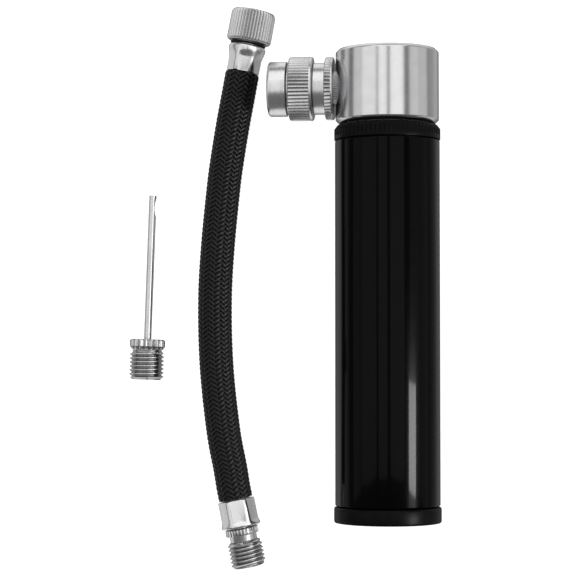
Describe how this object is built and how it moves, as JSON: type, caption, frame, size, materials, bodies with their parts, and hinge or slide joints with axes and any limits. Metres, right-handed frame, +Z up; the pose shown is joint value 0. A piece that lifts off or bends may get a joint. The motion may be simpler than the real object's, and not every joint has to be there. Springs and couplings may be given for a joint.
{
  "type": "bicycle mini pump",
  "caption": "Pocket bicycle pump with a pull-out black tube, a knurled side chuck, a loose braided hose with screw fittings and a ball needle.",
  "frame": {"origin": "on the table, in the middle of the box round the pump and the needle (the hose is left out)", "axes": "+Z up from the table, +Y along the pump towards its head, the chuck points to -X"},
  "size_m": [0.0692, 0.1256, 0.0236],
  "materials": {
    "turned_aluminium": "turned and brushed",
    "black_anodised": "glossy black anodised",
    "black_plastic": "satin black",
    "white_plastic": "natural white acetal",
    "nickel": "satin nickel plate",
    "polished_nickel": "polished nickel plate",
    "steel": "bright turned steel",
    "black_rubber": "matt black rubber",
    "black_braid": "rubber under a black woven braid"
  },
  "bodies": {
    "pump": {"head": "turned_aluminium", "head_seal": "black_rubber", "inner_barrel": "turned_aluminium", "barrel_stop_ring": "white_plastic", "bumper_ring": "black_rubber", "port_seal": "black_rubber", "connector_body": "nickel", "core_pin": "steel", "nut_seal": "black_rubber"},
    "handle": {"outer_tube": "black_anodised", "collar": "black_plastic", "guide_bush": "white_plastic", "end_cap": "black_plastic", "piston_rod": "turned_aluminium", "piston": "white_plastic", "piston_seal": "black_rubber", "piston_screw": "steel"},
    "chuck_nut": {"chuck_ring": "nickel", "chuck_sleeve": "nickel", "chuck_gasket": "black_rubber"},
    "check_valve": {"check_ball": "black_rubber"},
    "hose_assembly": {"hose": "black_braid", "ferrule_upper": "polished_nickel", "hose_stem": "nickel", "hose_seal": "black_rubber", "hose_pin": "steel", "ferrule_lower": "polished_nickel", "hose_fitting": "steel"},
    "valve_nut": {"hose_nut": "nickel", "hose_gasket": "black_rubber"},
    "ball_needle": {"needle_adapter": "steel", "needle_tube": "steel"}
  },
  "joints": [
    {"name": "pump_stroke", "type": "slide", "parent": "pump", "child": "handle", "axis": [0, -1, 0], "range_m": [0, 0.062]},
    {"name": "chuck_nut_turn", "type": "hinge", "parent": "pump", "child": "chuck_nut", "pos_m": [0.00181, 0.0436, 0.00963], "axis": [-0.9945, 0, -0.1045], "continuous": true},
    {"name": "check_slide", "type": "slide", "parent": "pump", "child": "check_valve", "axis": [-0.9945, 0, -0.1045], "range_m": [0, 0.0012]},
    {"name": "hose_lift", "type": "slide", "parent": "pump", "child": "hose_assembly", "axis": [0, 0, 1], "range_m": [0, 0.06]},
    {"name": "valve_nut_turn", "type": "hinge", "parent": "hose_assembly", "child": "valve_nut", "pos_m": [-0.00743, 0.05822, 0.00503], "axis": [0.1857, 0.9826, 0], "continuous": true},
    {"name": "needle_lift", "type": "slide", "parent": "pump", "child": "ball_needle", "axis": [0, 0, 1], "range_m": [0, 0.06]}
  ]
}
